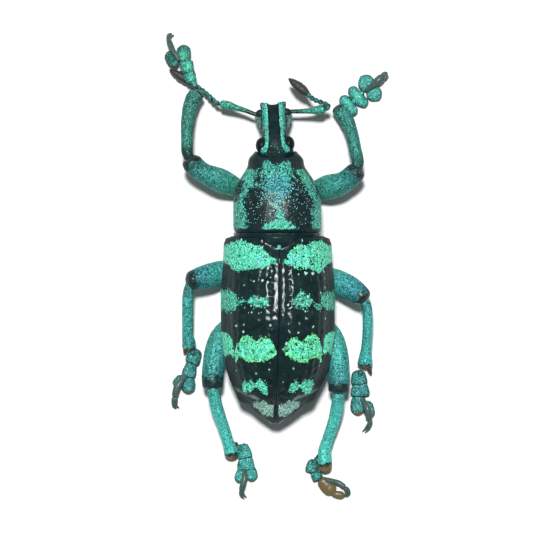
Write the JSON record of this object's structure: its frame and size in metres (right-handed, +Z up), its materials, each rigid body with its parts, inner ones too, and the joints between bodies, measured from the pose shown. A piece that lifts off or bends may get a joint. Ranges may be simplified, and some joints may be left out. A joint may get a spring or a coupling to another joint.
{
  "type": "eupholus linnei weevil",
  "caption": "Still, life-size model of a dried snout weevil standing on its feet, black and green, with elbowed feelers and padded feet, for study or display.",
  "frame": {"origin": "on the floor, under the middle of the box that holds the whole animal", "axes": "+Y forward, from tail to head; +X to the right in the view from above; +Z up, away from the floor"},
  "size_m": [0.0176, 0.0367, 0.0086],
  "materials": {
    "black_shell": "polished black shell",
    "banded_shell": "polished black shell with bands of mint green scales",
    "turquoise_scales": "fine turquoise scales with dark specks",
    "eye": "glossy black",
    "dark_feeler": "dark brown-green shell"
  },
  "bodies": {
    "root": {"abdomen": "black_shell", "club_left": "dark_feeler", "club_right": "dark_feeler", "coxa_front_left": "black_shell", "coxa_front_right": "black_shell", "coxa_hind_left": "black_shell", "coxa_hind_right": "black_shell", "coxa_middle_left": "black_shell", "coxa_middle_right": "black_shell", "elytron_left": "banded_shell", "elytron_right": "banded_shell", "eye_left": "eye", "eye_right": "eye", "femur_front_left": "turquoise_scales", "femur_front_right": "turquoise_scales", "femur_hind_left": "turquoise_scales", "femur_hind_right": "turquoise_scales", "femur_middle_left": "turquoise_scales", "femur_middle_right": "turquoise_scales", "funicle_left": "dark_feeler", "funicle_right": "dark_feeler", "head": "black_shell", "metathorax": "black_shell", "prothorax": "banded_shell", "scape_left": "dark_feeler", "scape_right": "dark_feeler", "tarsus_front_left": "turquoise_scales", "tarsus_front_right": "turquoise_scales", "tarsus_hind_left": "turquoise_scales", "tarsus_hind_right": "turquoise_scales", "tarsus_middle_left": "turquoise_scales", "tarsus_middle_right": "turquoise_scales", "tibia_front_left": "turquoise_scales", "tibia_front_right": "turquoise_scales", "tibia_hind_left": "turquoise_scales", "tibia_hind_right": "turquoise_scales", "tibia_middle_left": "turquoise_scales", "tibia_middle_right": "turquoise_scales"}
  },
  "joints": []
}
